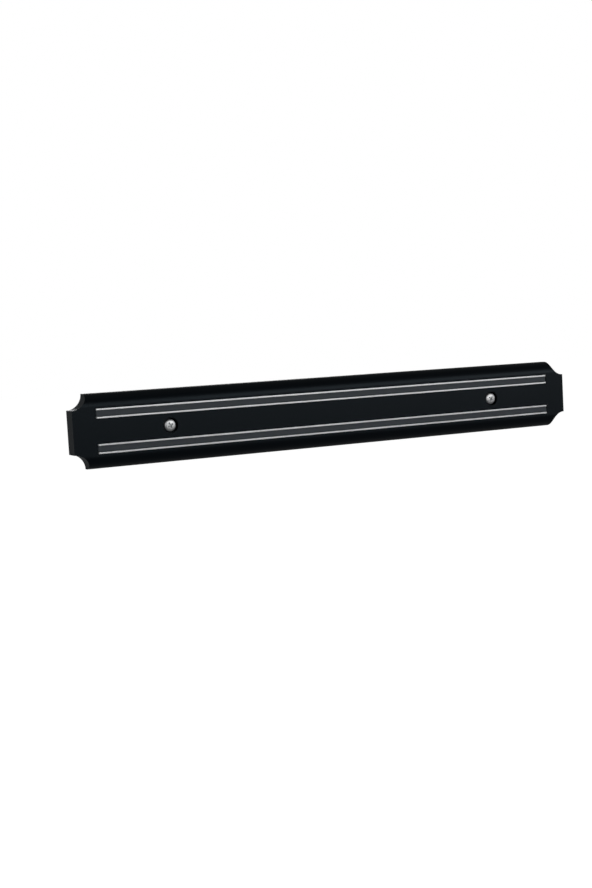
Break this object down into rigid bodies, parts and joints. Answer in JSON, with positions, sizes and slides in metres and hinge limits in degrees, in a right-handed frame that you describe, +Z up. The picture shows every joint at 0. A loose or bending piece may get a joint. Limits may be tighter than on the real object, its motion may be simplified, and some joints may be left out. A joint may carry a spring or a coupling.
{
  "type": "knife magnetic rack",
  "caption": "Wall-mounted moulded bar with steel pole strips and magnets set in its front, which holds knives by their blades.",
  "frame": {"origin": "centre of the flat back face, on the plane of the wall", "axes": "+X along the bar to the right as seen from the front, +Y into the wall, +Z up; the front faces -Y"},
  "size_m": [0.38, 0.0333, 0.048],
  "materials": {
    "black_plastic": "satin moulded black",
    "cover_plastic": "fine textured black",
    "grey_facing": "matt dark grey",
    "pole_steel": "brushed along its length",
    "screw_steel": "bright zinc plate",
    "ferrite": "ground sintered ferrite"
  },
  "bodies": {
    "root": {"body_shell": "black_plastic", "rear_cover": "cover_plastic", "pole_strip_upper_top": "pole_steel", "pole_strip_upper_bottom": "pole_steel", "facing_strip_upper": "grey_facing", "magnet_upper_1": "ferrite", "magnet_upper_2": "ferrite", "magnet_upper_3": "ferrite", "magnet_upper_4": "ferrite", "magnet_upper_5": "ferrite", "magnet_upper_6": "ferrite", "magnet_upper_7": "ferrite", "magnet_upper_8": "ferrite", "pole_strip_lower_top": "pole_steel", "pole_strip_lower_bottom": "pole_steel", "facing_strip_lower": "grey_facing", "magnet_lower_1": "ferrite", "magnet_lower_2": "ferrite", "magnet_lower_3": "ferrite", "magnet_lower_4": "ferrite", "magnet_lower_5": "ferrite", "magnet_lower_6": "ferrite", "magnet_lower_7": "ferrite", "magnet_lower_8": "ferrite", "wall_screw_left": "screw_steel", "wall_screw_right": "screw_steel"}
  },
  "joints": []
}
